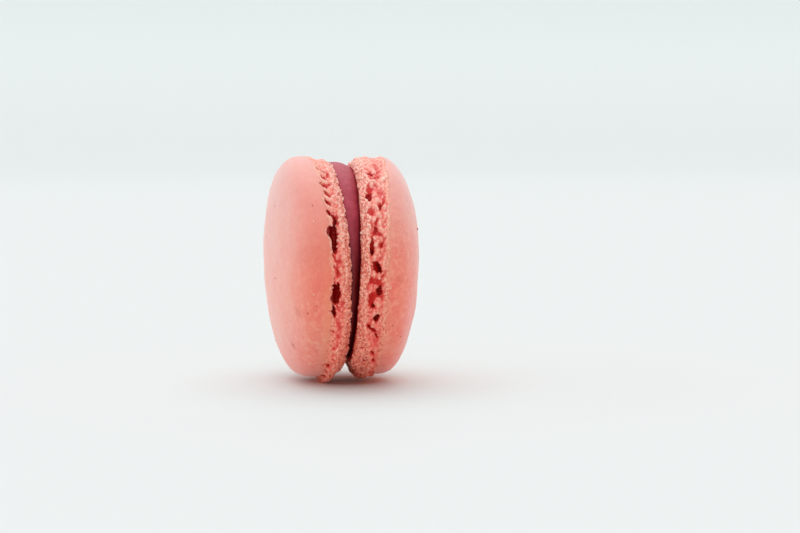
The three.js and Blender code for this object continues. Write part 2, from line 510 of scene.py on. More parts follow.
def stainAndShadeAt(shell, point):
    # small reddish blotches with soft, uneven edges, and one wide faint one that is painted shade
    most, waver = 0, capSet["stainAndShadeWaver"]
    for clock, radius, size, strength in shell["stainsAndShade"]:
        angle = angleOf(shell, clock)
        gap = hypot(point.x - radius * cos(angle), point.y - radius * sin(angle)) / size
        if gap < 1 + waver:
            gap += waver * noise(point * 2.2)
            most = max(most, strength * (1 - smoothStep(gap, 0.2, 1)))
    return most


def rimLift(shell, clock):
    # how far the cap's lower edge, and the foot's upper edge with it, lies above its mean height
    angle = radians(clock)
    at = Vector((shell["capRadius"] * cos(angle), shell["capRadius"] * sin(angle), shell["side"]))
    lift = capSet["ragged"] * (noise(at * 0.55) + 0.9 * noise(at * 1.5))
    for middle, width, rise in shell["dents"]:
        gap = radians((clock - middle + 180) % 360 - 180) * shell["capRadius"] / (width / 2)
        lift += rise * (1 - smoothStep(abs(gap), 0.2, 1))
    return lift


def foldDip(shell, above, at):
    # the depth of the fine folds that run round beside the rim
    wander = above - shell["foldAt"] - capSet["foldWander"] * noise(at * 0.2)
    dip = sum(exp(-((wander - line) / capSet["foldWidth"]) ** 2) for line in capSet["foldLines"])
    dip *= capSet["foldDepth"] * smoothStep(noise(at * 0.35), -0.5, 0.3)
    return dip


def makeCap(name, shell, seed):
    cap = addRings(name, capSet["steps"], capRings(shell))
    closeRings(cap)
    foot = shell["footHeight"]
    rimFrom, rimTo = (shell["capRadius"] - inward for inward in capSet["raggedIn"])
    foldFrom, foldTo = capSet["foldZone"]
    paint(cap, "under", lambda vertex: 1 if vertex.co.z < foot + capSet["underTo"] else 0)
    for vertex in cap.data.vertices:
        radius, above = hypot(vertex.co.x, vertex.co.y), vertex.co.z - foot
        at = Vector((vertex.co.x, vertex.co.y, vertex.co.z * 0.3 + seed))
        nearRim = smoothStep(radius, rimFrom, rimTo)
        if nearRim > 0 and above < capSet["raggedUp"][1]:
            lift = rimLift(shell, clockOf(shell, vertex.co))
            vertex.co.z += nearRim * (1 - smoothStep(above, *capSet["raggedUp"])) * lift
        if foldFrom < above < foldTo:
            dip = foldDip(shell, above, at)
            vertex.co.x *= 1 - dip / radius
            vertex.co.y *= 1 - dip / radius
    cap.data.update()
    for swell, (size, strength) in capSet["swells"].items():
        displace(cap, swell, size, strength)
    bpy.ops.object.shade_smooth()
    paint(cap, "stainAndShade", lambda vertex: stainAndShadeAt(shell, vertex.co))
    paint(cap, "fold", lambda vertex: vertex.co.z - foot - shell["foldAt"])
    standUp(cap, shell)
    return cap


leftCap = makeCap("leftCap", leftShell, 2)
rightCap = makeCap("rightCap", rightShell, 5)
print("caps made")

# clock, radius and size in mm of the larger grains on the caps; smaller ones are strewn at random
speckSet = {
    "leftAlmond": ((27, 21.7, 0.14), (25.5, 21.8, 0.1), (-10.5, 21.4, 0.16), (-9, 21.2, 0.1),
        (-41, 16.6, 0.12), (-27, 21.0, 0.1), (-40.5, 20.6, 0.13), (-41, 21.7, 0.13), (-57, 21.5, 0.15),
        (-7, 20.5, 0.1), (-50, 21.3, 0.12), (-52, 20.2, 0.11)),
    "leftBerry": ((36, 21.75, 0.16), (-16.5, 21.6, 0.12), (-21.5, 20.7, 0.15), (-19, 21.6, 0.1),
        (72, 12.9, 0.13), (-13.5, 7.0, 0.11)),
    "rightAlmond": ((-61, 21.5, 0.2), (4, 21.4, 0.12), (-33, 21.2, 0.14)),
    "rightBerry": ((41, 13.5, 0.22), (-28, 21.6, 0.13), (-36, 20.5, 0.15), (12, 21.3, 0.1)),
    "strewnAlmond": 90, "strewnBerry": 60, "strewnSize": (0.035, 0.09), "strewnOver": (0.02, 0.998),
    "stretch": ((0.7, 1.3), (0.7, 1.3), (0.6, 0.9)), "turnTo": 6.3, "rough": 0.5, "fineTo": 0.1,
}


def domeHeightAt(shell, radius):
    return shell["footHeight"] + domeRise(shell, acos(min(radius / shell["capRadius"], 1)))


def drawShift(draw):
    # gives each grain and lump its own part of the noise
    return Vector([draw.uniform(-9, 9) for axis in range(3)])


def addSpeck(cap, shell, place, draw):
    clock, radius, size = place
    angle, height = angleOf(shell, clock), domeHeightAt(shell, radius)
    spot = shellPlace(shell) @ Vector((radius * cos(angle), radius * sin(angle), height))
    spot.z += shellRingZ(shell, height / shell["footHeight"])
    found, spot, normal, face = cap.closest_point_on_mesh(spot * mm)
    select()
    bpy.ops.mesh.primitive_ico_sphere_add(subdivisions=2 if size > speckSet["fineTo"] else 1,
                                          radius=size * mm)
    speck = bpy.context.object
    shift = drawShift(draw)
    stretch = Vector([draw.uniform(*limits) for limits in speckSet["stretch"]])
    turn = normal.to_track_quat("Z", "Y").to_matrix()
    turn = turn @ Matrix.Rotation(draw.uniform(0, speckSet["turnTo"]), 3, "Z")
    for vertex in speck.data.vertices:
        rough = 1 + speckSet["rough"] * noise(vertex.co / (size * mm) * 1.2 + shift)
        vertex.co = spot + turn @ (vertex.co * rough * stretch)
    return speck


def makeSpecks(name, listed, strewn, seed):
    # listed and strewn grains of one kind, half sunk in the caps, joined to one piece
    draw = random.Random(seed)
    specks = []
    for cap, shell, places in ((leftCap, leftShell, listed[0]), (rightCap, rightShell, listed[1])):
        for i in range(strewn):
            radius = shell["capRadius"] * sqrt(draw.uniform(*speckSet["strewnOver"]))
            places += ((draw.uniform(0, 360), radius, draw.uniform(*speckSet["strewnSize"])),)
        for place in places:
            specks.append(addSpeck(cap, shell, place, draw))
    joined = specks[0]
    joined.name = name
    joinInto(joined, specks[1:])
    bpy.ops.object.shade_smooth()
    return joined


almondSpecks = makeSpecks("almondSpecks", (speckSet["leftAlmond"], speckSet["rightAlmond"]),
                          speckSet["strewnAlmond"], 61)
berrySpecks = makeSpecks("berrySpecks", (speckSet["leftBerry"], speckSet["rightBerry"]),
                         speckSet["strewnBerry"], 67)
print("specks strewn")

# aroundTop, aroundLow, wearFrom and cutFrom are stretches of the clock angle's sine, counted
# from the middle towards the top or the bottom
footSet = {
    "steps": 900, "innerRadius": 17.5, "meanRadius": 22, "chamfer": 0.3, "chamferUp": 0.6, "edge": 0.5,
    "edgeRound": 0.7, "faceRings": 7, "edgeRings": 5, "wallFrom": 0.4, "row": 0.16, "overlap": 0.5,
    "over": 0.05, "overShares": (0.25, 0.5, 0.75, 1), "tuck": ((-0.8, 0.85), (-1.5, 0.5)), "rimZone": 0.6,
    "openSunk": 0.55, "bandSunk": 0.2, "hollowSunk": 0.5, "patch": 0.62, "bandEdge": (-0.3, 0.5),
    "fullTop": 0.7, "calmLow": 0.45, "aroundTop": (0.88, 0.98), "aroundLow": (0.05, 0.5),
    "wearFrom": (0.6, 1), "wearFade": (2.2, 0.2), "cutFrom": (0.72, 0.97), "cutTurn": 0.16,
    "cutFade": (0.3, 2.8), "caveSpan": 20, "caveWall": 1.2, "hollowDepth": 2.5, "hiddenRatio": 0.08,
    "smoothing": 2, "creaseSmoothing": 14, "creaseSpan": 0.5, "swell": (4, 0.3), "grain": (0.34, 0.34),
    "grainShares": (0.55, 0.45),
}

# clock, height above the inner face, length, width, depth, turn from the ring's direction
leftCaves = [
    (65, 3.0, 1.7, 1.3, 1.3, 20), (58, 3.1, 1.7, 1.4, 1.3, 15), (51, 3.2, 1.7, 1.3, 1.3, -5),
    (45.5, 3.2, 1.4, 1.3, 1.2, 10), (44.5, 2.5, 1.8, 0.6, 1.0, -35), (39.5, 3.2, 1.5, 1.2, 1.3, -10),
    (33, 3.4, 1.6, 1.1, 1.5, 0), (32.5, 2.5, 1.0, 0.8, 1.4, 15), (27.5, 2.8, 3.9, 1.2, 2.3, -25),
    (20.5, 3.0, 6.2, 1.8, 2.4, -3), (10, 3.3, 0.8, 0.7, 1.3, 0), (5, 3.3, 0.7, 0.5, 1.0, 0),
    (-8, 2.9, 4.8, 1.5, 2.3, -11), (-18.5, 3.5, 2.2, 1.1, 2.0, -7), (-12.5, 1.8, 1.7, 1.0, 0.8, 8),
    (-2.5, 3.4, 1.9, 0.7, 0.8, 0), (-23.5, 2.3, 0.8, 0.5, 0.7, -20), (-29.5, 3.4, 1.3, 0.8, 0.9, 0),
    (-33, 3.0, 0.6, 0.5, 0.9, 0), (-32, 2.3, 0.6, 0.4, 0.7, 10), (-40, 3.0, 0.8, 0.5, 0.9, 10),
    (-38, 2.1, 0.9, 0.5, 0.8, 15), (-48, 2.3, 0.8, 0.7, 1.0, 90), (-56, 3.4, 2.3, 0.8, 1.1, -8),
]
rightCaves = [
    (61, 2.8, 1.8, 1.0, 1.3, -63), (66, 4.0, 1.3, 0.5, 0.8, 0), (53, 3.4, 1.0, 0.5, 0.8, -17),
    (48, 2.0, 2.7, 1.5, 1.0, 0), (43, 1.8, 2.4, 1.3, 1.8, 0), (37, 3.9, 1.9, 0.7, 1.4, 15),
    (34, 2.0, 1.9, 1.6, 0.9, 10), (30, 3.1, 1.3, 0.6, 1.1, -20), (24, 2.8, 1.4, 1.0, 1.5, 0),
    (15, 2.1, 4.0, 1.0, 1.4, 0), (12.5, 2.2, 1.7, 0.8, 2.1, 0), (5, 3.2, 3.4, 1.4, 1.6, -35),
    (5, 3.8, 2.2, 0.8, 2.3, -26), (20.5, 4.2, 0.8, 0.6, 1.2, 0), (16, 4.1, 0.9, 0.7, 1.3, 0),
    (30.5, 0.7, 1.4, 0.5, 0.9, 0), (-1.5, 3.0, 2.7, 1.2, 0.8, -87), (-7, 4.1, 1.9, 1.3, 2.0, -11),
    (-12, 2.4, 3.6, 1.4, 1.1, -11), (-14.5, 3.0, 1.4, 0.6, 2.0, 0), (-21, 3.7, 1.9, 1.4, 2.1, 10),
    (-26.5, 2.7, 2.0, 0.8, 1.5, -60), (-32, 4.2, 2.5, 0.6, 1.5, -24), (-28, 3.4, 1.6, 0.7, 1.4, -40),
    (0, 0.7, 1.1, 0.4, 0.9, -8), (-39, 1.3, 1.9, 0.5, 0.8, 63), (-42.5, 3.0, 2.0, 0.5, 1.2, 76),
    (-44, 4.0, 2.3, 0.6, 1.2, -24), (-49.5, 2.4, 1.5, 0.7, 1.0, -32), (-52, 4.4, 2.8, 0.8, 1.2, -18),
]

# caves round the back, between two clock angles
backSet = {
    "from": 102, "to": 296, "apart": (3.5, 9), "levels": (0.45, 0.65, 0.85, 0.92), "length": (0.8, 2.4),
    "longShare": 0.15, "longer": 2.2, "width": (0.6, 1.5), "depth": (0.7, 2.0), "turn": (-30, 30),
}


def moreCaves(shell, seed):
    draw = random.Random(seed)
    caves = []
    clock = backSet["from"]
    while clock < backSet["to"]:
        clock += draw.uniform(*backSet["apart"])
        level = shell["footHeight"] * draw.choice(backSet["levels"])
        length = draw.uniform(*backSet["length"])
        if draw.random() < backSet["longShare"]:
            length *= backSet["longer"]
        caves.append((clock, level, length, draw.uniform(*backSet["width"]),
                      draw.uniform(*backSet["depth"]), draw.uniform(*backSet["turn"])))
    return caves


def footRadius(shell, height):
    return alongCurve(shell["footProfile"], min(max(height / shell["footHeight"], 0), 1))


def bandTop(shell, clock):
    # the granular band beside the filling is of uneven width, and wider at the bottom
    at = Vector((cos(radians(clock)), sin(radians(clock)), shell["side"]))
    low = smoothStep(-at.y, 0.45, 0.85) * shell["bandLow"]
    return shell["bandTop"] + low + 0.7 * noise(at * 6) + 0.5 * noise(at * 19)


def onBand(shell, point):
    return 1 - smoothStep(point.z - bandTop(shell, clockOf(shell, point)), *footSet["bandEdge"])


def footRings(shell):
    inner, face = footSet["innerRadius"], footRadius(shell, 0)
    foot, edge = shell["footHeight"], footSet["edge"]
    chamfer, chamferUp = footSet["chamfer"], footSet["chamferUp"]
    faceRings, edgeRings = footSet["faceRings"], footSet["edgeRings"]
    rings = [(inner, chamferUp), (inner + chamfer, 0.0)]
    for i in range(1, faceRings + 1):
        rings.append((inner + chamfer + (face - edge - inner - chamfer) * i / faceRings, 0.0))
    for i in range(1, edgeRings):
        angle = pi / 2 * i / edgeRings
        rings.append((face - edge + edge * sin(angle),
                      edge * (1 - cos(angle)) * footSet["edgeRound"]))
    low = footSet["wallFrom"]
    rows = round((foot - low) / footSet["row"])
    for i in range(rows + 1):
        height = low + (foot - low) * i / rows
        rings.append((footRadius(shell, height), height))
    for share in footSet["overShares"]:
        height = foot + footSet["overlap"] * share
        rings.append((domeRadius(shell, height) + footSet["over"] * (1 - 1.8 * share), height))
    rings += outline((shell["capRadius"], foot), footSet["tuck"])
    rings += [(inner + chamfer, foot + chamfer), (inner, foot), (inner, foot * 0.5), (inner, chamferUp)]
    return rings


def caveReach(cave, clock, height):
    # 0 in the middle of a cave, 1 at its lip
    at, level, length, width, depth, turn = cave
    gap = (clock - at + 180) % 360 - 180
    if abs(gap) > footSet["caveSpan"]:
        return inf
    along, across = radians(gap) * footSet["meanRadius"], height - level
    c, s = cos(radians(turn)), sin(radians(turn))
    return hypot((along * c + across * s) / (length / 2), (across * c - along * s) / (width / 2))


def wearAt(shell, angle, height):
    # the bottom is worn, and its inner edge most
    fadeFrom, fadeTo = (shell["footHeight"] - down for down in footSet["wearFade"])
    wear = shell["worn"] * smoothStep(-sin(angle), *footSet["wearFrom"])
    wear *= 1 - smoothStep(height, fadeFrom, fadeTo)
    cut = shell["lowCut"] * smoothStep(-sin(angle + footSet["cutTurn"]), *footSet["cutFrom"])
    return wear + cut * (1 - smoothStep(height, *footSet["cutFade"]))


def crumbDepth(shell, caves, clock, height):
    # how far the crumb lies below the foot's outline, before lumps stand on it
    foot, band, mean = shell["footHeight"], bandTop(shell, clock), footSet["meanRadius"]
    angle = radians(clock)
    at = Vector((mean * cos(angle), mean * sin(angle), height + 40 * shell["side"]))
    inOpen = between(height, (band - 0.2, band + 0.5), (foot - 0.9, foot - 0.1))
    patch = smoothStep(noise(at * footSet["patch"]), -0.05, 0.25)
    patch *= 1 - footSet["calmLow"] * smoothStep(-sin(angle), *footSet["aroundLow"])
    depth = footSet["bandSunk"] + inOpen * (
        footSet["openSunk"] - footSet["bandSunk"] + footSet["hollowSunk"] * patch) * (
        1 - footSet["fullTop"] * smoothStep(sin(angle), *footSet["aroundTop"]))
    depth *= between(height, (0, 0.4), (foot - 0.3, foot))
    wobble = noise(at * 1.4) * 0.35 + noise(at * 3) * 0.25
    for cave in caves:
        reach = caveReach(cave, clock, height)
        if reach < 1.6:
            depth = max(depth, cave[4] * smoothStep(footSet["caveWall"] - reach - wobble, 0, 0.35))
    return depth + wearAt(shell, angle, height)


def carveFoot(foot, shell, caves):
    # sinks the open crumb and hollows out the caves, and frays the edge that lies on the cap
    top = shell["footHeight"]
    for vertex in foot.data.vertices:
        height = vertex.co.z
        radius = hypot(vertex.co.x, vertex.co.y)
        clock = clockOf(shell, vertex.co)
        if radius < footRadius(shell, height) - 1:
            # the inner face ends where the bottom is worn
            worn = footRadius(shell, 0) - wearAt(shell, radians(clock), 0)
            depth = max(radius - worn, 0) if height < footSet["edge"] else 0
        elif height > top:
            depth = 0.1 * noise(vertex.co * 1.3)
        else:
            depth = crumbDepth(shell, caves, clock, height)
        if height > top - footSet["rimZone"] and radius > footRadius(shell, height) - 1:
            vertex.co.z += rimLift(shell, clock) * smoothStep(height, top - footSet["rimZone"], top)
        shrink = (radius - depth) / radius
        vertex.co.x *= shrink
        vertex.co.y *= shrink
    foot.data.update()


# open crumb, in two sizes: size, share of places filled, and height over the crumb
# band: distances between grains round the foot and up it; bandReach and bandBare are the mean
# and what the patches add to or take from it
lumpSet = {
    "shapes": 4, "rough": 0.45, "lean": 0.9, "open": ((1, 0.85, 0.6), (0.5, 0.5, 0.3)),
    "openApart": (1.15, 0.95), "openSize": ((0.5, 0.95), (0.4, 0.7), (0.6, 0.95)), "openLow": 0.35,
    "bandApart": (0.42, 0.36), "bandFrom": 0.15, "bandReach": (0.28, 0.16), "bandBare": (0.35, 0.6),
    "bandSize": (0.6, 1.4), "bandRise": (0.04, 0.24), "hanging": 330, "hangingSize": (0.2, 0.4),
    "hangingHeight": (-0.12, 0.15), "hangingIn": (0.1, 0.6),
}


def makeLump(name, seed):
    # one irregular crumb about a millimetre in radius
    select()
    bpy.ops.mesh.primitive_ico_sphere_add(subdivisions=2, radius=1, location=(0, 0, 0))
    lump = bpy.context.object
    lump.name = name
    shift = drawShift(random.Random(seed))
    for vertex in lump.data.vertices:
        vertex.co *= 1 + lumpSet["rough"] * noise(vertex.co * 1.1 + shift)
    return lump


lumpShapes = [makeLump("lump%d" % i, 40 + i) for i in range(lumpSet["shapes"])]


class Crumb:
    # strews one foot with ribs, lumps and grains
    def __init__(self, shell, caves, seed):
        self.shell = shell
        self.caves = caves
        self.draw = random.Random(seed)
        self.placed = []

    def put(self, clock, height, radius, size, lean=None):
        angle = angleOf(self.shell, clock)
        outward = Vector((cos(angle), sin(angle), 0))
        along, up = Vector((-sin(angle), cos(angle), 0)), Vector((0, 0, 1))
        turn = Matrix((along, up, outward)).transposed().to_4x4()
        if lean is None:
            lean = self.draw.uniform(-lumpSet["lean"], lumpSet["lean"])
        turn = turn @ Matrix.Rotation(lean, 4, "Z")
        turn = turn @ Matrix.Diagonal((*size, 1))
        shape = self.draw.choice(lumpShapes)
        lump = bpy.data.objects.new("crumbLump", shape.data.copy())
        lump.matrix_world = Matrix.Translation(outward * radius + up * height) @ turn
        bpy.context.collection.objects.link(lump)
        self.placed.append(lump)

    def settle(self, clock, height, size, rise):
        # rests a lump on the crumb so that its top stands a little above it, clear of the caves
        for cave in self.caves:
            gap = (caveReach(cave, clock, height) - 1) * min(cave[2], cave[3]) / 2
            if gap < 0.2 * max(size[:2]):
                return
        top = self.shell["footHeight"]
        rise *= 1 - 0.6 * smoothStep(height, top - 0.9, top - 0.2)
        rise *= 1 - 0.5 * smoothStep(sin(radians(clock)), 0.9, 0.98)
        depth = crumbDepth(self.shell, self.caves, clock, height)
        self.put(clock, height, footRadius(self.shell, height) - depth + rise - size[2], size)

    def addRibs(self):
        for clock, height, length, width, lean in self.shell["ribs"]:
            radius = footRadius(self.shell, height) - width * 0.9
            self.put(clock, height, radius, (length, width, width), radians(lean))

    def addOpen(self):
        # waxy lumps leaning this way and that, and small ones between
        shell, draw = self.shell, self.draw
        for scale, share, high in lumpSet["open"]:
            reach = shell["lump"] * scale
            step, rise = (reach * apart for apart in lumpSet["openApart"])
            turn = degrees(step / footSet["meanRadius"])
            rows = ceil((shell["footHeight"] - shell["bandTop"]) / rise)
            for row in range(-1, rows + 2):
                for i in range(round(360 / turn)):
                    clock = (i + draw.uniform(-0.45, 0.45)) * turn
                    height = bandTop(shell, clock) + (row + draw.uniform(-0.4, 0.4)) * rise
                    if not 0.3 < height < shell["footHeight"] + 0.1 or draw.random() > share:
                        continue
                    if height < bandTop(shell, clock) - reach * 0.7:
                        continue
                    size = [reach * draw.uniform(*limits) for limits in lumpSet["openSize"]]
                    low = smoothStep(-sin(radians(clock)), *footSet["aroundLow"])
                    calm = 1 - lumpSet["openLow"] * low
                    self.settle(clock, height, size, draw.uniform(0.3, 1) * high * calm)

    def addBand(self):
        # small grains in uneven patches
        shell, draw, mean = self.shell, self.draw, footSet["meanRadius"]
        step, rise = lumpSet["bandApart"]
        turn = degrees(step / mean)
        reachMean, reachMore = lumpSet["bandReach"]
        bareMean, bareLess = lumpSet["bandBare"]
        for row in range(ceil((shell["bandTop"] + shell["bandLow"]) / rise) + 2):
            for i in range(round(360 / turn)):
                clock = (i + draw.uniform(-0.5, 0.5)) * turn
                height = lumpSet["bandFrom"] + (row + draw.uniform(-0.5, 0.5)) * rise
                at = Vector((radians(clock) * mean * 0.6, height * 0.8, 7 + shell["side"]))
                patch = noise(at)
                if not 0.1 < height < bandTop(shell, clock) + 0.1:
                    continue
                if draw.random() < bareMean - bareLess * patch:
                    continue
                reach = reachMean + reachMore * patch
                size = [reach * draw.uniform(*lumpSet["bandSize"]) for axis in range(3)]
                self.settle(clock, height, size, draw.uniform(*lumpSet["bandRise"]))

    def addHanging(self):
        # crumbs that hang over the filling
        draw, count = self.draw, lumpSet["hanging"]
        for i in range(count):
            clock = (i + draw.uniform(-0.5, 0.5)) * 360 / count
            if draw.random() < self.shell["fray"]:
                size = [draw.uniform(*lumpSet["hangingSize"]) for axis in range(3)]
                self.put(clock, draw.uniform(*lumpSet["hangingHeight"]),
                         footRadius(self.shell, 0) - draw.uniform(*lumpSet["hangingIn"]), size)


def strewCrumb(shell, caves, seed):
    crumb = Crumb(shell, caves, seed)
    crumb.addRibs()
    crumb.addOpen()
    crumb.addBand()
    crumb.addHanging()
    return crumb.placed


def dropLoose(foot):
    # keeps the one connected body
    highest = max(range(len(foot.data.vertices)), key=lambda v: foot.data.vertices[v].co.x)
    for vertex in foot.data.vertices:
        vertex.select = vertex.index == highest
    editMode()
    bpy.ops.mesh.select_mode(type="VERT")
    bpy.ops.mesh.select_linked()
    bpy.ops.mesh.select_all(action="INVERT")
    bpy.ops.mesh.delete(type="VERT")
    editMode(False)


def thinHidden(foot, shell):
    # what lies inside the macaron needs few faces
    for vertex in foot.data.vertices:
        radius, height = hypot(vertex.co.x, vertex.co.y), vertex.co.z
        inside = radius < footSet["innerRadius"] + 0.25
        underCap = height > shell["footHeight"] - 0.1 and radius < shell["capRadius"] - 0.7
        vertex.select = inside or underCap
    editMode()
    bpy.ops.mesh.select_mode(type="VERT")
    bpy.ops.mesh.decimate(ratio=footSet["hiddenRatio"])
    editMode(False)


def hollowAt(shell, point):
    # 0 on the foot's outline and 1 well below it
    angle = radians(clockOf(shell, point))
    skin = footRadius(shell, point.z) - wearAt(shell, angle, point.z)
    return min(max((skin - hypot(point.x, point.y)) / footSet["hollowDepth"], 0), 1)


def paintCreases(piece):
    # 0.5 on the flat, more in creases, less on ridges; measured against a smoothed copy
    select(piece)
    bpy.ops.object.duplicate()
    smoothed = bpy.context.object
    applyModifier(smoothed, "SMOOTH", factor=0.5, iterations=footSet["creaseSmoothing"])
    drops = []
    for vertex, calm in zip(piece.data.vertices, smoothed.data.vertices):
        drop = (calm.co - vertex.co).dot(vertex.normal) / footSet["creaseSpan"]
        drops.append(min(max(0.5 + drop, 0), 1))
    bpy.data.objects.remove(smoothed)
    paint(piece, "crease", lambda vertex: drops[vertex.index])


def makeFoot(name, shell, caves, seed):
    foot = addRings(name, footSet["steps"], footRings(shell))
    closeRings(foot)
    caves = caves + moreCaves(shell, seed)
    carveFoot(foot, shell, caves)
    joinInto(foot, strewCrumb(shell, caves, seed + 1))
    applyModifier(foot, "REMESH", mode="VOXEL", voxel_size=shell["voxel"])
    dropLoose(foot)
    thinHidden(foot, shell)
    applyModifier(foot, "SMOOTH", factor=0.5, iterations=footSet["smoothing"])
    displace(foot, "footSwell", *footSet["swell"])
    grainy = foot.vertex_groups.new(name="grainy")
    everywhere, more = footSet["grainShares"]
    for vertex in foot.data.vertices:
        grainy.add([vertex.index], everywhere + more * onBand(shell, vertex.co), "REPLACE")
    displace(foot, "footGrain", *footSet["grain"], "grainy")
    bpy.ops.object.shade_smooth()
    paintCreases(foot)
    paint(foot, "hollow", lambda vertex: hollowAt(shell, vertex.co))
    paint(foot, "band", lambda vertex: onBand(shell, vertex.co))
    paint(foot, "skin", lambda vertex: smoothStep(vertex.co.z - shell["footHeight"], -0.35, 0.05))
    standUp(foot, shell)
    return foot


leftFoot = makeFoot("leftFoot", leftShell, leftCaves, 11)
rightFoot = makeFoot("rightFoot", rightShell, rightCaves, 23)
for shape in lumpShapes:
    bpy.data.objects.remove(shape)
print("feet made")

fillingSet = {
    "steps": 360, "rows": 20, "leftRadius": 19.6, "rightRadius": 18.5, "narrowing": 2.2,
    "discRadii": (0.01, 6, 12, 16), "rim": 0.6, "bulge": 0.7, "bulgeShape": 0.6, "sink": 0.15,
    "centreZ": 23.5, "lowShort": 1.5, "shortFrom": (0.8, 1),
}


def innerFaceX(shell, y, z):
    axes = shellPlace(shell)
    normal = axes.to_3x3() @ Vector((0, 0, 1))
    origin = axes @ Vector((0, 0, 0)) + Vector((0, 0, shell["faceZ"]))
    return origin.x - (normal.y * (y - origin.y) + normal.z * (z - origin.z)) / normal.x


def makeFilling():
    # a disc pulled out to the two inner faces, which ends short of their edge at the bottom
    left, right, rim = fillingSet["leftRadius"], fillingSet["rightRadius"], fillingSet["rim"]
    discs, rows = fillingSet["discRadii"], fillingSet["rows"]
    rings = [(radius, 0.0) for radius in (*discs, left - rim)]
    for i in range(rows + 1):
        across = i / rows
        edge = left + (right - left) * across ** fillingSet["narrowing"]
        swell = fillingSet["bulge"] * sin(pi * across) ** fillingSet["bulgeShape"]
        rings.append((edge + swell, across))
    rings += [(radius, 1.0) for radius in (right - rim, *discs[::-1])]
    cream = addRings("creamFilling", fillingSet["steps"], rings)
    closeRings(cream)
    for vertex in cream.data.vertices:
        r, clock = hypot(vertex.co.x, vertex.co.y), atan2(vertex.co.y, vertex.co.x)
        r *= 1 - fillingSet["lowShort"] / left * smoothStep(-sin(clock), *fillingSet["shortFrom"])
        y, z = -r * cos(clock), fillingSet["centreZ"] + r * sin(clock)
        low = innerFaceX(leftShell, y, z) - fillingSet["sink"]
        high = innerFaceX(rightShell, y, z) + fillingSet["sink"]
        vertex.co = Vector((low + (high - low) * vertex.co.z, y, z)) * mm
    select(cream)
    editMode()
    faceOut()
    bpy.ops.object.shade_smooth()
    return cream


cream = makeFilling()
print("filling made")

# mottles: cloud size, detail, roughness, where they set in, strength, colour
# light and shade painted as tints: colour, strength, and the stretches along the axes, in mm, over which
# it sets in
crustSet = {
    "swell": ((0.35, (0.89, 0.27, 0.17)), (0.65, (0.88, 0.165, 0.11))),
    "mottles": ((2.2, 3, 0.6, 0.42, 0.68, 0.55, (0.90, 0.33, 0.205)),
        (0.5, 2, 0.5, 0.42, 0.64, 0.65, (0.80, 0.13, 0.085)),
        (1.1, 2, 0.5, 0.5, 0.66, 0.6, (0.94, 0.36, 0.25))),
    "dryStrip": (0.89, 0.30, 0.165), "foldLine": (0.96, 0.46, 0.34), "streak": (0.80, 0.30, 0.28),
    "foldStops": ((0.345, 0.045), (0.50, 0.04), (0.675, 0.045)), "streakEnds": ((-8, -12), (8, 12)),
    "nearRim": (0.85, 0.13, 0.07), "stainAndShade": (0.66, 0.09, 0.045), "pore": (0.72, 0.19, 0.13),
    # painted light and shade: paler on the left and at the top, redder at the lower right and at the
    # bottom
    "paintedLightShade": (((0.88, 0.36, 0.28), 0.45, ("X", -6, -13)),
        ((0.94, 0.11, 0.07), 0.5, ("X", 5, 10), ("X", 14.2, 13), ("Z", 34, 12), ("Y", 2, -12)),
        ((0.74, 0.39, 0.36), 0.65, ("Z", 20, 44)),
        ((0.86, 0.50, 0.48), 0.4, ("X", 5, 10), ("X", 14.2, 13), ("Z", 28, 42)),
        ((1.0, 0.12, 0.065), 0.7, ("Z", 9, 0))),
}


def foldMask(n, fold):
    # white along the middle of each fold and black beside it
    stops = []
    for middle, half in crustSet["foldStops"]:
        stops += [(middle - half, (0, 0, 0)), (middle, (1, 1, 1)), (middle + half, (0, 0, 0))]
    return n.ramp(n.level(fold, -1, 1), stops)


def makeCrust():
    n = Nodes("almondCrust")
    base = n.mottle(n.ramp(n.clouds(7, 1.5), crustSet["swell"]), crustSet["mottles"])
    # a paler, drier strip below the folds that run round beside the rim
    fold = n.wander(n.mask("fold"), 0.5, 6)
    strip = n.level(fold, 0.25, -0.35)
    base = n.mix(n.times(strip, 0.55), base, crustSet["dryStrip"])
    base = n.mix(n.times(foldMask(n, fold), 0.3), base, crustSet["foldLine"])
    # fine brush streaks that run up and down, on both domes
    streaks = n.times(n.level(n.clouds(1, 2, stretch=(1, 0.3, 5)), 0.54, 0.72, 0, 0.55),
                      n.level(n.clouds(4.5, 1), 0.5, 0.65))
    for ends in crustSet["streakEnds"]:
        base = n.mix(n.times(streaks, n.along("X", *ends)), base, crustSet["streak"])
    # painted shade and sheen: redder near the left rim, on the right and at the bottom, where less light
    # falls, and paler on the left and at the top, a painted sheen
    nearRim = n.times(n.level(fold, 7.5, 2), n.along("X", -2, -5), n.along("Z", 10, 22), 0.55)
    base = n.mix(nearRim, base, crustSet["nearRim"])
    base = n.tint(base, crustSet["paintedLightShade"])
    # reddish stains, and one wide faint one that is painted shade
    base = n.mix(n.mask("stainAndShade"), base, crustSet["stainAndShade"])
    pores = n.level(n.cells(0.9), 0.12, 0.04, 0, 0.8)
    base = n.mix(n.times(n.level(n.clouds(5, 1), 0.45, 0.6), pores), base, crustSet["pore"])
    grain = n.times(n.clouds(0.35, 3, 0.6), n.level(strip, 0, 1, 0.5, 1))
    normal = n.bump(n.clouds(2.2), 0.06, Normal=n.bump(grain, 0.05))
    return n.finish(base, normal, Roughness=0.48, Sheen_Weight=0.49, Sheen_Roughness=0.5,
                    Subsurface_Weight=0.2, Subsurface_Scale=0.001,
                    Subsurface_Radius=(1.0, 0.45, 0.3))


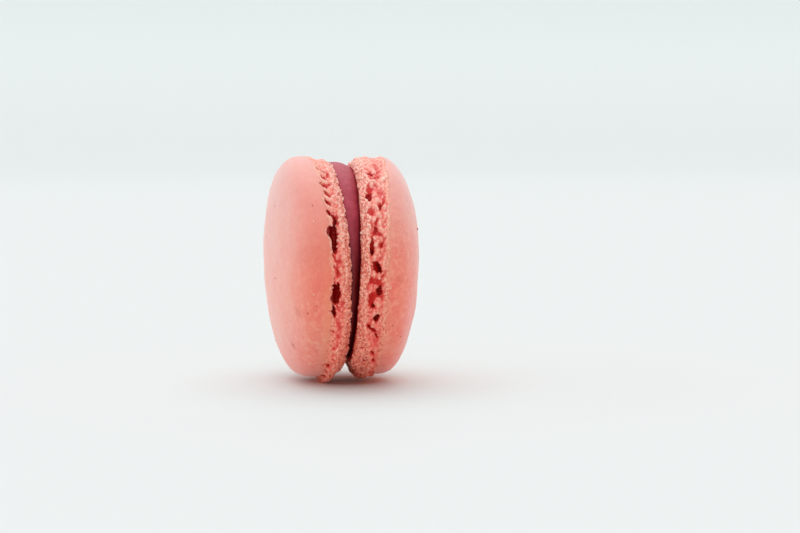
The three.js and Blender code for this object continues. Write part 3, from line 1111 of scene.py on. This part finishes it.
crumbSet = {
    # hollow: painted shade, colours by depth below the foot's outline
    "hollow": ((0.0, (0.93, 0.42, 0.31)), (0.13, (0.92, 0.33, 0.235)), (0.22, (0.85, 0.17, 0.13)),
        (0.32, (0.75, 0.075, 0.06)), (0.48, (0.46, 0.010, 0.009)), (0.8, (0.22, 0.001, 0.001))),
    "grain": ((0.38, (0.56, 0.09, 0.055)), (0.5, (0.91, 0.285, 0.19)), (0.62, (1.0, 0.59, 0.45))),
    "waxy": (0.93, 0.21, 0.16), "skin": (0.86, 0.31, 0.20), "crease": (0.62, 0.065, 0.05),
    "topCreaseShade": (0.76, 0.08, 0.08), "ridgeHighlight": (0.98, 0.66, 0.54), "pit": (0.36, 0.07, 0.045),
    "widePit": (0.64, 0.06, 0.04),
    # painted light and shade: redder towards the bottom, paler towards the top
    "paintedLightShade": (((1.15, 0.5, 0.38), 0.5, ("Z", 30, 5)), ((1.03, 1.2, 1.33), 1, ("Z", 26, 42))),
}


def makeCrumb(name, **finish):
    n = Nodes(name)
    crease, hollow = n.mask("crease"), n.mask("hollow")
    onSkin = n.level(hollow, 0.3, 0.1)
    # coral patches where the crumb is waxy, and sandy ones where it is dry
    waxy = n.times(n.level(n.clouds(2.6), 0.5, 0.66), n.along("Z", 6, 20), onSkin, 0.45)
    # painted shade: the crumb turns deep red and nearly black the further it lies below the foot's
    # outline
    base = n.mix(waxy, n.ramp(hollow, crumbSet["hollow"]), crumbSet["waxy"])
    sandy = n.ramp(n.clouds(0.45), crumbSet["grain"])
    base = n.mix(n.times(n.mask("band"), onSkin, 0.8), base, sandy)
    base = n.mix(n.times(n.mask("skin"), 0.8), base, crumbSet["skin"])
    # painted shade and highlight: creases are redder, most of all at the top, and ridges paler
    base = n.mix(n.level(crease, 0.52, 0.76, 0, 0.9), base, crumbSet["crease"])
    topCreaseShade = n.times(n.level(crease, 0.5, 0.61, 0, 0.55), n.along("Z", 24, 36))
    base = n.mix(topCreaseShade, base, crumbSet["topCreaseShade"])
    ridgeHighlight = n.times(n.level(crease, 0.48, 0.28, 0, 0.8), n.level(hollow, 0.55, 0.3))
    base = n.mix(ridgeHighlight, base, crumbSet["ridgeHighlight"])
    # painted light and shade: redder towards the bottom, paler towards the top
    base = n.tint(base, crumbSet["paintedLightShade"], "MULTIPLY")
    # dark pits, and wider, redder ones, most of them towards the bottom
    pits = n.times(n.level(n.cells(0.6), 0.22, 0.1), n.level(n.clouds(1.8, 1), 0.44, 0.58), onSkin, 0.8)
    base = n.mix(pits, base, crumbSet["pit"])
    widePits = n.times(n.level(n.clouds(0.5), 0.53, 0.64), n.along("Z", 34, 14), onSkin, 0.9)
    base = n.mix(widePits, base, crumbSet["widePit"])
    return n.finish(base, n.bump(n.clouds(0.2), 0.08), **finish)


creamSet = {
    "swirl": ((0.35, (0.34, 0.035, 0.06)), (0.65, (0.44, 0.06, 0.095))),
    "shade": (((0.38, 0.16, 0.13), 1, ("Z", 34, 22)),),
    "light": (((0.60, 0.15, 0.20), 0.4, ("Z", 38, 43.5)),),
}


def makeCream():
    n = Nodes("berryCream")
    base = n.ramp(n.clouds(1.6, 3), creamSet["swirl"])
    # painted shade: the filling darker lower down, and painted light: paler at the top
    base = n.tint(base, creamSet["shade"], "MULTIPLY")
    base = n.tint(base, creamSet["light"])
    return n.finish(base, n.bump(n.clouds(0.5), 0.05), Roughness=0.5, Specular_IOR_Level=0.26)


def makeGrain(name, dark, light, roughness):
    n = Nodes(name)
    base = n.ramp(n.clouds(0.3), ((0.4, dark), (0.6, light)))
    return n.finish(base, n.bump(n.clouds(0.08), 0.02), Roughness=roughness)


def shadeMaskedFaces(piece, deep, name, least):
    # painted shade: faces over which a mask is high take a dull or dark material of their own
    piece.data.materials.append(deep)
    depth = [value.value for value in piece.data.attributes[name].data]
    for face in piece.data.polygons:
        if sum(depth[v] for v in face.vertices) / len(face.vertices) > least:
            face.material_index = 1


crust, berry = makeCrust(), makeCream()
almond = makeGrain("almondGrain", (0.88, 0.46, 0.32), (0.96, 0.64, 0.48), 0.5)
berryGrain = makeGrain("berryGrain", (0.42, 0.03, 0.03), (0.58, 0.08, 0.06), 0.6)
crumb = makeCrumb("footCrumb", Roughness=0.42, Subsurface_Weight=0.2, Subsurface_Scale=0.0008,
                  Subsurface_Radius=(1.0, 0.4, 0.25))
# painted shade: a dull copy of the crumb, without reflection, for the deepest faces in the caves
shadedCrumb = makeCrumb("shadedCrumb", Roughness=0.9, Specular_IOR_Level=0.05)
# painted shade: a dark red for the cap's underside beside the rim, where it lies in shade
underShadeCrumb = makeGrain("underShadeCrumb", (0.30, 0.008, 0.007), (0.52, 0.04, 0.03), 0.9)
for piece, material, slot, node in (
        (leftCap, crust, "crust", "left_shell"), (rightCap, crust, "crust", "right_shell"),
        (leftFoot, crumb, "foot", "left_shell"), (rightFoot, crumb, "foot", "right_shell"),
        (cream, berry, "filling", "filling"),
        (almondSpecks, almond, "crust", None), (berrySpecks, berryGrain, "crust", None)):
    piece.data.materials.append(material)
    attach(piece, "root")
    if node:
        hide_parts(node)
    print(piece.name, sum(len(face.vertices) - 2 for face in piece.data.polygons), "triangles")

# painted shade on the deepest faces of the feet
for foot in (leftFoot, rightFoot):
    shadeMaskedFaces(foot, shadedCrumb, "hollow", 0.36)
# painted shade on the cap's underside beside the rim
for cap in (leftCap, rightCap):
    shadeMaskedFaces(cap, underShadeCrumb, "under", 0.6)
print("materials on")
